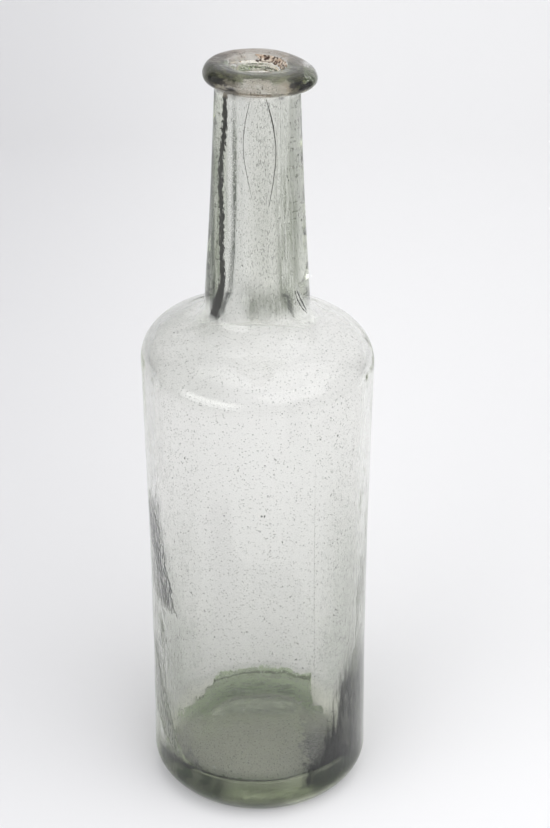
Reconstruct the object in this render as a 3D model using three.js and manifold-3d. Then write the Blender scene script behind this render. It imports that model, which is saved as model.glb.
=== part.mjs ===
// Hand-blown bottle of pale grey-green glass with an applied ring lip, standing on its base.
// Millimetres, +Z up. The origin is on the resting plane, on the axis of the body.
import * as THREE from 'three';
import Module from 'manifold-3d';
import { mergeVertices } from 'three/addons/utils/BufferGeometryUtils.js';

const wasm = await Module();
wasm.setup();

// overall height, to the crown of the lip
const bottleHeight = 270;

// base: the heel is an ellipse that flattens out to the resting ring, and the underside is
// pushed up a little inside the ring
const heelHeight = 10.3;
const heelWidth = 13.2;
const heelTurn = THREE.MathUtils.degToRad(28.6);
const restingRingRadius = 30;
const restingRingWidth = 3.6;
const pushUpDepth = 1.8;

// body: outer radii at the foot, at the waist and at the shoulder
const footRadius = 39.1;
const waistRadius = 38.65;
const shoulderRadius = 39.7;
const waistHeight = 80;
const shoulderStart = 166.8;

// shoulder: a tight roll, then a flatter crown, then a hollow up to the neck
const rollRadius = 9.9;
const rollAngle = THREE.MathUtils.degToRad(61);
const crownRadius = 31;
const hollowRadius = 10.5;

// neck: outer radii where it leaves the shoulder, half way up, and under the lip
const neckFootRadius = 17.75;
const neckMiddleRadius = 15.5;
const neckTopRadius = 13.85;

// applied lip ring: the outer part of a flattened round section, laid thicker on one side
const lipHeight = 6.7;
const lipReach = 4.4;
const lipEccentricity = 0.75;

// inside: wall thickness down the bottle, the bore of the neck and the funnel of the mouth
const shoulderWall = 3.4;
const waistWall = 3;
const footWall = 3.6;
const baseThickness = 14.5;
const innerCornerRadius = 2.2;
const floorRise = 0.8;
const floorSlope = 0.025;
const throatRadius = 22;
const boreFootRadius = 8.3;
const boreRadius = 7;
const mouthRadius = 9.3;
const funnelDepth = 2.2;
const rimDrop = 0.5;

// crust of old cork and wax left on the funnel, on the far right of the mouth
const crustThickness = 0.7;
const crustReach = 0.8;
const crustFrom = THREE.MathUtils.degToRad(22);
const crustTo = THREE.MathUtils.degToRad(98);

// the neck leans a little, and the mouth sits a little lower on the side it leans to
const neckLean = 0.5;
const slump = 0.028;
const slumpStart = 130;
const slumpEnd = 180;

// the shoulder hangs lower at the front: the slope grows, holds, and ends up the neck
const droop = 0.06;
const droopStart = 130;
const droopFull = 165;
const droopFade = 190;
const droopEnd = 222;

// pieces that touch keep this gap
const seatGap = 0.3;

// facets round the axis, and points to each curve
const roundSteps = 56;
const curveSteps = 3;

const glassColour = 0xb9c2b4;
const lipColour = 0xa39f93;
const crustColour = 0x8a6a4c;

// The hollow under the neck touches a crown of the given radius: this finds where.
// A crown and a hollow are two circles side by side, so the line between their centres
// passes through the point where they meet.
function meetCrown(crownCentre, crown, hollow, neckRadius) {
    const hollowX = neckRadius + hollow;
    const angle = Math.acos((hollowX - crownCentre.x) / (crown + hollow));
    const hollowY = crownCentre.y + (crown + hollow) * Math.sin(angle);
    return { angle, centre: new THREE.Vector2(hollowX, hollowY) };
}

// shoulder circles, shared by the outside and the inside of the wall
const rollCentre = new THREE.Vector2(shoulderRadius - rollRadius, shoulderStart);
const crownCentre = new THREE.Vector2(
    rollCentre.x + (rollRadius - crownRadius) * Math.cos(rollAngle),
    rollCentre.y + (rollRadius - crownRadius) * Math.sin(rollAngle)
);
const outerMeet = meetCrown(crownCentre, crownRadius, hollowRadius, neckFootRadius);
const innerMeet = meetCrown(crownCentre, crownRadius - shoulderWall, throatRadius, boreFootRadius);

const lipMiddle = bottleHeight - lipHeight / 2;
const lipCentreRadius = neckTopRadius;
const lipFoot = bottleHeight - lipHeight;
const neckFoot = outerMeet.centre.y;
const boreTop = bottleHeight - rimDrop - funnelDepth;

// Carries an outline on to a point in one gentle bow that passes through another half way.
function bow(outline, throughX, throughY, toX, toY) {
    const from = outline.currentPoint.clone();
    outline.quadraticCurveTo(2 * throughX - (from.x + toX) / 2, 2 * throughY - (from.y + toY) / 2,
        toX, toY);
}

// Adds the shoulder to an outline that comes up the body: roll, crown and hollow, up to the neck.
function addShoulderUp(outline) {
    outline.absarc(rollCentre.x, rollCentre.y, rollRadius, 0, rollAngle, false);
    outline.absarc(crownCentre.x, crownCentre.y, crownRadius, rollAngle, outerMeet.angle, false);
    outline.absarc(outerMeet.centre.x, outerMeet.centre.y, hollowRadius,
        Math.PI + outerMeet.angle, Math.PI, true);
}

// Adds the same shoulder from the inside, coming down the bore.
function addShoulderDown(outline) {
    outline.absarc(innerMeet.centre.x, innerMeet.centre.y, throatRadius,
        Math.PI, Math.PI + innerMeet.angle, false);
    outline.absarc(crownCentre.x, crownCentre.y, crownRadius - shoulderWall,
        innerMeet.angle, rollAngle, true);
    outline.absarc(rollCentre.x, rollCentre.y, rollRadius - shoulderWall, rollAngle, 0, true);
}

// Outside of the blown wall, from the middle of the push-up to the outer edge of the rim.
function outsideOutline() {
    const ringInner = restingRingRadius - restingRingWidth;
    const heelCentre = footRadius - heelWidth;
    const heelX = heelCentre + heelWidth * Math.cos(heelTurn);
    const heelZ = heelHeight * (1 - Math.sin(heelTurn));
    const pullX = heelX - heelZ * (heelWidth / heelHeight) * Math.tan(heelTurn);
    const domeRadius = (ringInner ** 2 + pushUpDepth ** 2) / (2 * pushUpDepth);
    const domeCentre = pushUpDepth - domeRadius;
    const outline = new THREE.Path();
    outline.moveTo(0, pushUpDepth);
    outline.absarc(0, domeCentre, domeRadius, Math.PI / 2, Math.atan2(-domeCentre, ringInner), true);
    outline.lineTo(restingRingRadius, 0);
    outline.quadraticCurveTo(pullX, 0, heelX, heelZ);
    outline.absellipse(heelCentre, heelHeight, heelWidth, heelHeight, -heelTurn, 0, false);
    bow(outline, waistRadius, waistHeight, shoulderRadius, shoulderStart);
    addShoulderUp(outline);
    bow(outline, neckMiddleRadius, (neckFoot + lipFoot) / 2, neckTopRadius, lipFoot);
    outline.lineTo(neckTopRadius, bottleHeight);
    return outline.getPoints(curveSteps);
}

// Inside of the blown wall, from the crown of the rim down to the middle of the floor.
function insideOutline() {
    const innerWaist = waistRadius - waistWall;
    const innerFoot = footRadius - footWall;
    const cornerCentre = innerFoot - innerCornerRadius;
    const outline = new THREE.Path();
    outline.moveTo((neckTopRadius + mouthRadius) / 2, bottleHeight);
    outline.lineTo(mouthRadius, bottleHeight - rimDrop);
    outline.lineTo(boreRadius, boreTop);
    bow(outline, boreRadius, (boreTop + neckFoot) / 2, boreFootRadius, innerMeet.centre.y);
    addShoulderDown(outline);
    bow(outline, innerWaist, waistHeight, innerFoot, baseThickness + innerCornerRadius);
    outline.absarc(cornerCentre, baseThickness + innerCornerRadius, innerCornerRadius,
        0, -Math.PI / 2, true);
    outline.quadraticCurveTo(cornerCentre / 2, baseThickness + floorRise, 0,
        baseThickness + floorRise);
    return outline.getPoints(curveSteps);
}

// Turns an outline of (radius, height) points round the Z axis.
function turned(points) {
    const geometry = new THREE.LatheGeometry(points, roundSteps);
    return geometry.rotateX(Math.PI / 2);
}

// Moves every vertex by a rule that returns its new place.
function reshape(geometry, rule) {
    const position = geometry.attributes.position;
    const point = new THREE.Vector3();
    for (let i = 0; i < position.count; i += 1) {
        point.fromBufferAttribute(position, i);
        rule(point, i);
        position.setXYZ(i, point.x, point.y, point.z);
    }
    geometry.computeVertexNormals();
    return geometry;
}

// The slump of the hot glass: every piece above the body follows it, so they stay seated.
function settle(point) {
    const lean = Math.max(0, (point.z - neckFoot) / (bottleHeight - neckFoot));
    const tilt = slump * THREE.MathUtils.smoothstep(point.z, slumpStart, slumpEnd);
    const hang = droop * THREE.MathUtils.smoothstep(point.z, droopStart, droopFull)
        * (1 - THREE.MathUtils.smoothstep(point.z, droopFade, droopEnd));
    point.z += hang * point.y - tilt * point.x;
    point.x += neckLean * lean;
}

// A closed mesh as a solid for cutting, and back.
function toSolid(geometry) {
    const plain = geometry.clone();
    plain.deleteAttribute('normal');
    plain.deleteAttribute('uv');
    const welded = mergeVertices(plain, 1e-4);
    return new wasm.Manifold(new wasm.Mesh({
        numProp: 3,
        vertProperties: new Float32Array(welded.attributes.position.array),
        triVerts: new Uint32Array(welded.index.array),
    }));
}

function fromSolid(solid) {
    const mesh = solid.getMesh();
    const geometry = new THREE.BufferGeometry();
    geometry.setAttribute('position', new THREE.BufferAttribute(mesh.vertProperties, 3));
    geometry.setIndex(new THREE.BufferAttribute(mesh.triVerts, 1));
    geometry.computeVertexNormals();
    return geometry;
}

// Blown vessel: base, body, shoulder and neck in one wall of glass.
function makeVessel() {
    const outside = outsideOutline();
    const inside = insideOutline();
    const outline = [...outside, ...inside];
    const floorTop = baseThickness + innerCornerRadius + floorRise;
    return reshape(turned(outline), (point, i) => {
        const onInside = i % outline.length >= outside.length;
        if (onInside && point.z < floorTop) point.z += floorSlope * point.x;
        settle(point);
    });
}

// Ring of glass wound round the end of the neck.
function makeLipRing() {
    const seat = neckTopRadius + seatGap;
    const edge = Math.asin(seatGap / lipReach);
    const outline = new THREE.Path();
    outline.moveTo(seat, lipMiddle - (lipHeight / 2) * Math.cos(edge));
    outline.absellipse(lipCentreRadius, lipMiddle, lipReach, lipHeight / 2,
        -Math.PI / 2 + edge, Math.PI / 2 - edge, false);
    outline.closePath();
    return reshape(turned(outline.getPoints(curveSteps * 2)), (point) => {
        const radius = Math.hypot(point.x, point.y);
        const outward = (radius - seat) / lipReach;
        const stretch = 1 + (lipEccentricity * outward * point.x) / radius ** 2;
        point.x *= stretch;
        point.y *= stretch;
        settle(point);
    });
}

// Crust on the funnel: a thin turned film, cut to the stretch where it clings.
function makeCrust() {
    const foot = new THREE.Vector2(boreRadius, boreTop);
    const crease = new THREE.Vector2(mouthRadius, boreTop + funnelDepth);
    const head = foot.clone().lerp(crease, crustReach);
    const normal = new THREE.Vector2(foot.y - crease.y, crease.x - foot.x).normalize();
    const corner = (end, lift) => end.clone().addScaledVector(normal, lift);
    const topFace = seatGap + crustThickness;
    const outline = [corner(head, topFace), corner(foot, topFace), corner(foot, seatGap),
        corner(head, seatGap), corner(head, topFace)];
    const film = turned(outline);
    const wedge = new THREE.Shape();
    wedge.moveTo(0, 0);
    wedge.lineTo(mouthRadius * 2 * Math.cos(crustFrom), mouthRadius * 2 * Math.sin(crustFrom));
    wedge.absarc(0, 0, mouthRadius * 2, crustFrom, crustTo, false);
    wedge.closePath();
    const cutter = new THREE.ExtrudeGeometry(wedge, { depth: bottleHeight, bevelEnabled: false });
    const piece = fromSolid(toSolid(film).intersect(toSolid(cutter)));
    return reshape(piece, settle);
}

function addPiece(name, geometry, colour, roughness, opacity = 1) {
    const material = new THREE.MeshStandardMaterial({
        color: colour,
        roughness,
        metalness: 0,
        transparent: opacity < 1,
        opacity,
    });
    const mesh = new THREE.Mesh(geometry, material);
    mesh.name = name;
    bottle.add(mesh);
}

const bottle = new THREE.Group();
bottle.name = 'glass_bottle';
addPiece('vessel', makeVessel(), glassColour, 0.08, 0.4);
addPiece('lip_ring', makeLipRing(), lipColour, 0.1, 0.55);
addPiece('mouth_crust', makeCrust(), crustColour, 0.9);

export default bottle;
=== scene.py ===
import math
import random
import bmesh
import bpy
import numpy as np
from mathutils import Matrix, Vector, noise


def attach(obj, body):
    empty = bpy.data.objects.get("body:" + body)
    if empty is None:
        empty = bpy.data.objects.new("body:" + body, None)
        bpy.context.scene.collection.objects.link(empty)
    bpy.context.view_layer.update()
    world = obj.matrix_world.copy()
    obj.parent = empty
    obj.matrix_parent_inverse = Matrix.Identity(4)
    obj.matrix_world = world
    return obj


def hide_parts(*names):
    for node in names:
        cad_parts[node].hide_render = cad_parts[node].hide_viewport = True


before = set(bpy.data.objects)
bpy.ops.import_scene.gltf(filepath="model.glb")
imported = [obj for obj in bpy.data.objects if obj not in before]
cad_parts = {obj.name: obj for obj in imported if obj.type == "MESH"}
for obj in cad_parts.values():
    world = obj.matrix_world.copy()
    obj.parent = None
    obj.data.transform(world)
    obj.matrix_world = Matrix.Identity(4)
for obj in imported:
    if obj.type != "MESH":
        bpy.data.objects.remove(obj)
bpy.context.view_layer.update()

mm = 0.001


# shared helpers

def smooth(low, high, value):  # 0 below low, 1 above high, eased between; for numbers and arrays
    t = np.clip((value - low) / (high - low), 0.0, 1.0)
    return t * t * (3.0 - 2.0 * t)


def startClean():
    if bpy.context.mode != "OBJECT":
        bpy.ops.object.mode_set(mode="OBJECT")
    bpy.ops.object.select_all(action="DESELECT")


def useOnly(obj):
    startClean()
    obj.select_set(True)
    bpy.context.view_layer.objects.active = obj


def giveMaterial(obj, material):
    obj.data.materials.clear()
    obj.data.materials.append(material)


def readPoints(mesh):  # the points of a mesh in millimetres
    spots = np.empty(len(mesh.vertices) * 3)
    mesh.vertices.foreach_get("co", spots)
    return spots.reshape(-1, 3) / mm


def writePoints(mesh, spots):
    mesh.vertices.foreach_set("co", (spots * mm).ravel())
    mesh.update()


def wobble(spots, size, seed):  # soft noise from -1 to 1 at each point, size in millimetres
    sx, sy, sz = size
    return np.array([noise.noise(Vector((x / sx + seed, y / sy, z / sz))) for x, y, z in spots])


# shader helpers: each returns the socket that carries its result

def put(tree, value, socket):
    if isinstance(value, bpy.types.NodeSocket):
        tree.links.new(value, socket)
    else:
        socket.default_value = value


def calc(tree, operation, a, b=0.0):
    node = tree.nodes.new("ShaderNodeMath")
    node.operation = operation
    put(tree, a, node.inputs[0])
    put(tree, b, node.inputs[1])
    return node.outputs[0]


def chain(tree, operation, first, *rest):  # the sum, product or largest of all that follow
    for other in rest:
        first = calc(tree, operation, first, other)
    return first


def thrown(tree, grain, reach):  # noise as a way to either side
    return calc(tree, "MULTIPLY", calc(tree, "SUBTRACT", grain, 0.5), reach)


def ease(tree, value, low, high, start=0.0, end=1.0):
    node = tree.nodes.new("ShaderNodeMapRange")
    node.interpolation_type = "SMOOTHSTEP"
    put(tree, value, node.inputs["Value"])
    for name, number in zip(("From Min", "From Max", "To Min", "To Max"), (low, high, start, end)):
        node.inputs[name].default_value = number
    return node.outputs["Result"]


def blendColour(tree, amount, first, second, kind="MIX"):
    node = tree.nodes.new("ShaderNodeMix")
    node.data_type = "RGBA"
    node.blend_type = kind
    put(tree, amount, node.inputs["Factor"])
    put(tree, first, node.inputs[6])
    put(tree, second, node.inputs[7])
    return node.outputs[2]


def stretched(tree, place, scale, turn=(0.0, 0.0, 0.0)):
    node = tree.nodes.new("ShaderNodeMapping")
    node.inputs["Rotation"].default_value = [math.radians(a) for a in turn]
    node.inputs["Scale"].default_value = scale
    tree.links.new(place, node.inputs["Vector"])
    return node.outputs["Vector"]


def cloud(tree, place, scale, detail=2.0, turn=(0.0, 0.0, 0.0)):  # noise, scale per metre
    node = tree.nodes.new("ShaderNodeTexNoise")
    node.inputs["Scale"].default_value = 1.0
    node.inputs["Detail"].default_value = detail
    tree.links.new(stretched(tree, place, scale, turn), node.inputs["Vector"])
    return node.outputs["Fac"]


def dots(tree, place, scale, size, kept):  # small round specks on a share of the cells
    node = tree.nodes.new("ShaderNodeTexVoronoi")
    node.inputs["Scale"].default_value = 1.0
    tree.links.new(stretched(tree, place, scale), node.inputs["Vector"])
    split = tree.nodes.new("ShaderNodeSeparateColor")
    tree.links.new(node.outputs["Color"], split.inputs[0])
    near = ease(tree, node.outputs["Distance"], size * 0.6, size, 1.0, 0.0)
    return calc(tree, "MULTIPLY", near, calc(tree, "LESS_THAN", split.outputs[0], kept))


# camera, as the photo was taken: a longish lens close by, looking down on the bottle
shot = {
    "distance": 0.600, "height": 0.4565, "tiltDown": 27.43, "roll": -0.32, "farClip": 20,
    "focalPixels": 1965.0, "frameHeight": 828, "sensor": 36.0, "axisLeftOfCentre": 17.1,
}


def placeCamera():
    startClean()
    bpy.ops.object.camera_add(location=(0, -shot["distance"], shot["height"]))
    cam = bpy.context.object
    cam.name = "photoCamera"
    cam.rotation_mode = "XYZ"
    cam.rotation_euler = (math.radians(90 - shot["tiltDown"]), 0, 0)
    cam.rotation_euler.rotate_axis("Z", math.radians(shot["roll"]))
    cam.data.sensor_width = shot["sensor"]
    cam.data.lens = shot["focalPixels"] / shot["frameHeight"] * shot["sensor"]
    cam.data.shift_x = shot["axisLeftOfCentre"] / shot["frameHeight"]
    cam.data.clip_end = shot["farClip"]
    bpy.context.scene.camera = cam
    print("camera placed")


# table, backdrop and soft light, in metres
stage = {
    "halfWidth": 1.6, "front": -1.6, "tableEnd": 0.44, "sweep": 0.25, "sweepSteps": 16,
    "height": 1.9, "level": 1e-6,
    # shade is painted shade over the left of the paper; far is the dark grey painted where the light
    # falls away at the edges
    "paper": (0.885, 0.88, 0.885, 1), "shade": (0.73, 0.725, 0.735, 1), "far": (0.34, 0.34, 0.35, 1),
    "roughness": 0.9, "gloss": 0.1, "shadeAcross": (0.07, -0.23),
    "fadeRight": (0.55, 1.1), "fadeLeft": (-0.62, -1.2), "fadeFront": (-0.30, -0.9),
    "room": 0.725, "roomColour": (0.97, 0.98, 1.0, 1),
    "bounces": 32,  # the light runs far down inside the neck wall
    "softBoxes": [  # name, place, size, watts
        ("rightSoftBox", (0.70, -0.78, 1.05), (2.3, 1.6), 13.9),
        ("leftSoftBox", (-0.79, -0.76, 0.18), (1.6, 0.72), 9.8),
        ("topSoftBox", (0.30, 0.30, 1.50), (2.4, 2.4), 15.0),
    ],
    "softEdge": 0.30, "aim": (0, 0, 0.13),
}


def paperMaterial():
    paper = bpy.data.materials.new("whitePaper")
    paper.use_nodes = True
    tree = paper.node_tree
    surface = tree.nodes["Principled BSDF"]
    surface.inputs["Roughness"].default_value = stage["roughness"]
    surface.inputs["Specular IOR Level"].default_value = stage["gloss"]
    split = tree.nodes.new("ShaderNodeSeparateXYZ")
    tree.links.new(tree.nodes.new("ShaderNodeTexCoord").outputs["Object"], split.inputs[0])
    across, along = split.outputs[:2]
    near, far = stage["fadeLeft"]
    left = ease(tree, across, far, near, 1.0, 0.0)
    near, far = stage["fadeFront"]
    front = ease(tree, along, far, near, 1.0, 0.0)
    right = ease(tree, across, *stage["fadeRight"])
    # painted shade: the paper darker to the left and dark grey far out
    low, high = stage["shadeAcross"]
    shaded = ease(tree, across, high, low, 1.0, 0.0)
    sheet = blendColour(tree, shaded, stage["paper"], stage["shade"])
    edge = chain(tree, "MAXIMUM", right, left, front)
    put(tree, blendColour(tree, edge, sheet, stage["far"]), surface.inputs["Base Color"])
    return paper


def softEdges(lamp):  # the box glows in its middle and fades to its edges
    lamp.use_nodes = True
    tree = lamp.node_tree
    split = tree.nodes.new("ShaderNodeSeparateXYZ")
    tree.links.new(tree.nodes.new("ShaderNodeNewGeometry").outputs["Parametric"], split.inputs[0])
    sides = []
    for axis in split.outputs[:2]:
        fromEdge = calc(tree, "SUBTRACT", 0.5, calc(tree, "ABSOLUTE", calc(tree, "SUBTRACT", axis, 0.5)))
        sides.append(ease(tree, fromEdge, 0.0, stage["softEdge"]))
    put(tree, chain(tree, "MULTIPLY", *sides), tree.nodes["Emission"].inputs["Strength"])


def buildStage():
    startClean()
    width = stage["halfWidth"] * 2
    depth = stage["tableEnd"] + stage["sweep"] - stage["front"]
    middle = (stage["front"] + stage["tableEnd"] + stage["sweep"]) / 2
    bpy.ops.mesh.primitive_plane_add(size=1, location=(0, middle, 0))
    sheet = bpy.context.object
    sheet.name = "studioSweep"
    sheet.scale = (width, depth, 1)
    bpy.ops.object.transform_apply(location=True, rotation=True, scale=True)
    bpy.ops.object.mode_set(mode="EDIT")
    mesh = bmesh.from_edit_mesh(sheet.data)
    for edge in mesh.edges:
        edge.select = all(v.co.y > stage["tableEnd"] for v in edge.verts)
    mesh.select_flush_mode()
    bpy.ops.mesh.extrude_region_move(TRANSFORM_OT_translate={"value": (0, 0, stage["height"])})
    for edge in mesh.edges:
        edge.select = all(v.co.y > stage["tableEnd"] and abs(v.co.z) < stage["level"]
                          for v in edge.verts)
    mesh.select_flush_mode()
    bpy.ops.mesh.bevel(offset=stage["sweep"], segments=stage["sweepSteps"], affect="EDGES")
    bpy.ops.object.mode_set(mode="OBJECT")
    bpy.ops.object.shade_smooth()
    giveMaterial(sheet, paperMaterial())

    for name, place, size, power in stage["softBoxes"]:
        bpy.ops.object.light_add(type="AREA", location=place)
        lamp = bpy.context.object
        lamp.name = name
        lamp.data.shape = "RECTANGLE"
        lamp.data.size, lamp.data.size_y = size
        lamp.data.energy = power
        softEdges(lamp.data)
        aim = Vector(stage["aim"]) - Vector(place)
        lamp.rotation_euler = aim.to_track_quat("-Z", "Y").to_euler()

    world = bpy.data.worlds.new("studioRoom")
    bpy.context.scene.world = world
    world.use_nodes = True
    world.node_tree.nodes["Background"].inputs["Color"].default_value = stage["roomColour"]
    world.node_tree.nodes["Background"].inputs["Strength"].default_value = stage["room"]
    bpy.context.scene.view_settings.view_transform = "Standard"
    light = bpy.context.scene.cycles
    light.max_bounces = light.transmission_bounces = light.glossy_bounces = stage["bounces"]
    print("stage and lights built")


# the glass: outside and inside outline, in millimetres as (radius, height)
glass = {
    "height": 269.98, "heelHeight": 10.3, "heelWidth": 13.2, "heelTurn": 28.6,
    "ring": 30.0, "ringWidth": 3.6, "pushUp": 1.8, "pushUpBow": 0.78,
    "foot": 39.1, "waist": 38.65, "shoulder": 39.7, "waistHeight": 80.0, "shoulderStart": 166.8,
    "roll": 9.9, "rollAngle": 61.0, "crown": 31.0, "hollow": 10.5,
    "neckFoot": 17.75, "neckMiddle": 15.5, "neckTop": 13.85, "neckEnd": 0.8,
    "lipHeight": 6.7, "lipWidest": 2.7, "lipReach": 4.4, "lipInset": 0.1, "lipStart": -84,
    "shoulderWall": 3.4, "waistWall": 3.0, "footWall": 3.6, "base": 14.5, "corner": 2.2,
    "floorRise": 0.8, "floorStops": (0.8, 0.6, 0.3), "throat": 22.0, "boreFoot": 8.3, "bore": 7.0,
    "mouth": 9.3, "funnel": 2.2, "funnelBow": 0.45, "rimDrop": 0.5, "rimBow": 0.1,
    "step": 1.35, "turns": 188,  # distance between points, and how many sides the spin has
    # the share of that distance on each stretch of the outline
    "paces": {"pushUp": 1.6, "ring": 1.0, "heelLow": 0.7, "heel": 0.8, "side": 1.3, "roll": 0.7,
              "crown": 0.8, "hollow": 0.7, "neck": 1.0, "lip": 0.4, "rim": 0.5, "funnel": 0.4,
              "bore": 1.0, "throat": 0.8, "innerRoll": 0.6, "innerSide": 1.2, "corner": 0.4,
              "floor": 0.45, "floorMiddle": 1.4},
    # where the raised floor ends (radius at angles from the front) and the trough beyond it
    "floorEdge": [(-180, 38.0), (-152, 37.0), (-145, 35.0), (-138, 33.5), (-132, 32.1),
                  (-126, 30.6), (-119, 30.4), (-114, 31.0), (-112, 33.2), (-108, 32.0),
                  (-103, 31.0), (-88, 31.3), (-66, 31.3), (-50, 33.0), (-38, 36.0), (0, 38.0),
                  (50, 36.0), (66, 33.4), (81, 28.4), (104, 27.3), (113, 27.8), (116, 25.5),
                  (119, 24.0), (126, 26.0), (134, 29.0), (141, 32.5), (146, 37.0), (180, 38.0)],
    "trough": [(-180, 0), (-152, 0), (-145, 3), (-131, 6), (-117, 4.5), (-66, 4.5), (-50, 3),
               (-38, 0), (45, 0), (60, 3), (81, 7), (104, 8.5), (130, 8.5), (142, 8), (148, 0),
               (180, 0)],
    "jagLength": 3.5, "jagSeed": 7.7, "jagBehind": 1.1, "jagInFront": 0.25,
    "floorBlur": 0.4, "floorDepth": 3.0,
    # which points of the outline say how far the walls are from the axis at each height
    "climbFrom": 29.99, "neckAbove": 170.0, "insideFrom": 6.9, "digits": 4,
}


def arc(points, centre, radii, start, end, step):  # adds a stretch of ellipse, angles in degrees
    length = math.radians(abs(end - start)) * (radii[0] + radii[1]) / 2
    count = max(3, round(length / step))
    for i in range(count + 1):
        angle = math.radians(start + (end - start) * i / count)
        spot = (centre[0] + radii[0] * math.cos(angle), centre[1] + radii[1] * math.sin(angle))
        if not points or math.dist(points[-1], spot) > 1e-4:
            points.append(spot)


def curveTo(points, pull, end, step):  # a curve from the last point, drawn towards pull
    start = points[-1]
    count = max(1, round(math.dist(start, end) / step))
    for i in range(1, count + 1):
        t = i / count
        points.append(tuple((1 - t) ** 2 * s + 2 * t * (1 - t) * p + t * t * e
                            for s, p, e in zip(start, pull, end)))


def bowTo(points, through, end, step):  # the same, through a point half way
    start = points[-1]
    curveTo(points, tuple(2 * t - (s + e) / 2 for s, t, e in zip(start, through, end)), end, step)


def meetCrown(centre, crown, hollow, neck):
    x = neck + hollow
    angle = math.acos((x - centre[0]) / (crown + hollow))
    return math.degrees(angle), (x, centre[1] + (crown + hollow) * math.sin(angle))


def glassOutline():
    g = glass
    pace = {name: g["step"] * share for name, share in g["paces"].items()}
    turn = math.radians(g["rollAngle"])
    rollAt = (g["shoulder"] - g["roll"], g["shoulderStart"])
    crownAt = (rollAt[0] + (g["roll"] - g["crown"]) * math.cos(turn),
               rollAt[1] + (g["roll"] - g["crown"]) * math.sin(turn))
    outerAngle, outerAt = meetCrown(crownAt, g["crown"], g["hollow"], g["neckFoot"])
    innerCrown = g["crown"] - g["shoulderWall"]
    innerAngle, innerAt = meetCrown(crownAt, innerCrown, g["throat"], g["boreFoot"])
    heelAt = (g["foot"] - g["heelWidth"], g["heelHeight"])
    heelTurn = math.radians(g["heelTurn"])
    heelLow = (heelAt[0] + g["heelWidth"] * math.cos(heelTurn),
               heelAt[1] - g["heelHeight"] * math.sin(heelTurn))
    heelSlope = g["heelHeight"] / g["heelWidth"] / math.tan(heelTurn)
    lipFoot = g["height"] - g["lipHeight"]
    lipMid = lipFoot + g["lipWidest"]

    outside = [(0.0, g["pushUp"])]
    ringIn = g["ring"] - g["ringWidth"]
    bowTo(outside, (ringIn / 2, g["pushUp"] * g["pushUpBow"]), (ringIn, 0.0), pace["pushUp"])
    bowTo(outside, ((ringIn + g["ring"]) / 2, 0.0), (g["ring"], 0.0), pace["ring"])
    curveTo(outside, (heelLow[0] - heelLow[1] / heelSlope, 0.0), heelLow, pace["heelLow"])
    arc(outside, heelAt, (g["heelWidth"], g["heelHeight"]), -g["heelTurn"], 0, pace["heel"])
    bowTo(outside, (g["waist"], g["waistHeight"]), (g["shoulder"], g["shoulderStart"]), pace["side"])
    arc(outside, rollAt, (g["roll"],) * 2, 0, g["rollAngle"], pace["roll"])
    arc(outside, crownAt, (g["crown"],) * 2, g["rollAngle"], outerAngle, pace["crown"])
    arc(outside, outerAt, (g["hollow"],) * 2, 180 + outerAngle, 180, pace["hollow"])
    bowTo(outside, (g["neckMiddle"], (outerAt[1] + lipFoot) / 2),
          (g["neckTop"], lipFoot - g["neckEnd"]), pace["neck"])
    lipAt = (g["neckTop"] + g["lipInset"], lipMid)
    arc(outside, lipAt, (g["lipReach"], g["lipWidest"]), g["lipStart"], 0, pace["lip"])
    arc(outside, lipAt, (g["lipReach"], g["height"] - lipMid), 0, 90, pace["lip"])
    bowTo(outside, ((g["mouth"] + g["neckTop"]) / 2, g["height"] - g["rimBow"]),
          (g["mouth"], g["height"] - g["rimDrop"]), pace["rim"])

    boreTop = g["height"] - g["rimDrop"] - g["funnel"]
    inside = [outside.pop()]
    bowTo(inside, ((g["mouth"] + g["bore"]) / 2, boreTop + g["funnel"] * g["funnelBow"]),
          (g["bore"], boreTop), pace["funnel"])
    bowTo(inside, (g["bore"], (boreTop + innerAt[1]) / 2), (g["boreFoot"], innerAt[1]), pace["bore"])
    arc(inside, innerAt, (g["throat"],) * 2, 180, 180 + innerAngle, pace["throat"])
    arc(inside, crownAt, (innerCrown,) * 2, innerAngle, g["rollAngle"], pace["crown"])
    arc(inside, rollAt, (g["roll"] - g["shoulderWall"],) * 2, g["rollAngle"], 0, pace["innerRoll"])
    innerFoot = g["foot"] - g["footWall"]
    bowTo(inside, (g["waist"] - g["waistWall"], g["waistHeight"]),
          (innerFoot, g["base"] + g["corner"]), pace["innerSide"])
    cornerAt = (innerFoot - g["corner"], g["base"] + g["corner"])
    arc(inside, cornerAt, (g["corner"],) * 2, 0, -90, pace["corner"])
    stops = [(cornerAt[0] * share, g["base"] + g["floorRise"] * (1 - share * share))
             for share in g["floorStops"]]
    bowTo(inside, stops[0], stops[1], pace["floor"])
    bowTo(inside, stops[2], (0.0, g["base"] + g["floorRise"]), pace["floorMiddle"])
    return outside, inside, outerAt[1]


def spinOutline(name, points):  # draws the outline by extruding a point, and spins it
    startClean()
    bpy.ops.mesh.primitive_plane_add(size=1, location=(0, 0, 0))
    obj = bpy.context.object
    obj.name = name
    bpy.ops.object.mode_set(mode="EDIT")
    bpy.ops.mesh.merge(type="CENTER")
    bpy.ops.transform.translate(value=(points[0][0] * mm, 0, points[0][1] * mm))
    for (r0, z0), (r1, z1) in zip(points, points[1:]):
        bpy.ops.mesh.extrude_region_move(
            TRANSFORM_OT_translate={"value": ((r1 - r0) * mm, 0, (z1 - z0) * mm)})
    bpy.ops.mesh.select_all(action="SELECT")
    bpy.ops.mesh.spin(steps=glass["turns"], angle=math.tau, center=(0, 0, 0), axis=(0, 0, 1))
    bpy.ops.mesh.select_all(action="SELECT")
    bpy.ops.mesh.remove_doubles(threshold=1e-5)
    bpy.ops.mesh.normals_make_consistent(inside=False)
    bpy.ops.object.mode_set(mode="OBJECT")
    bpy.ops.object.shade_smooth()
    return obj


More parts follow.
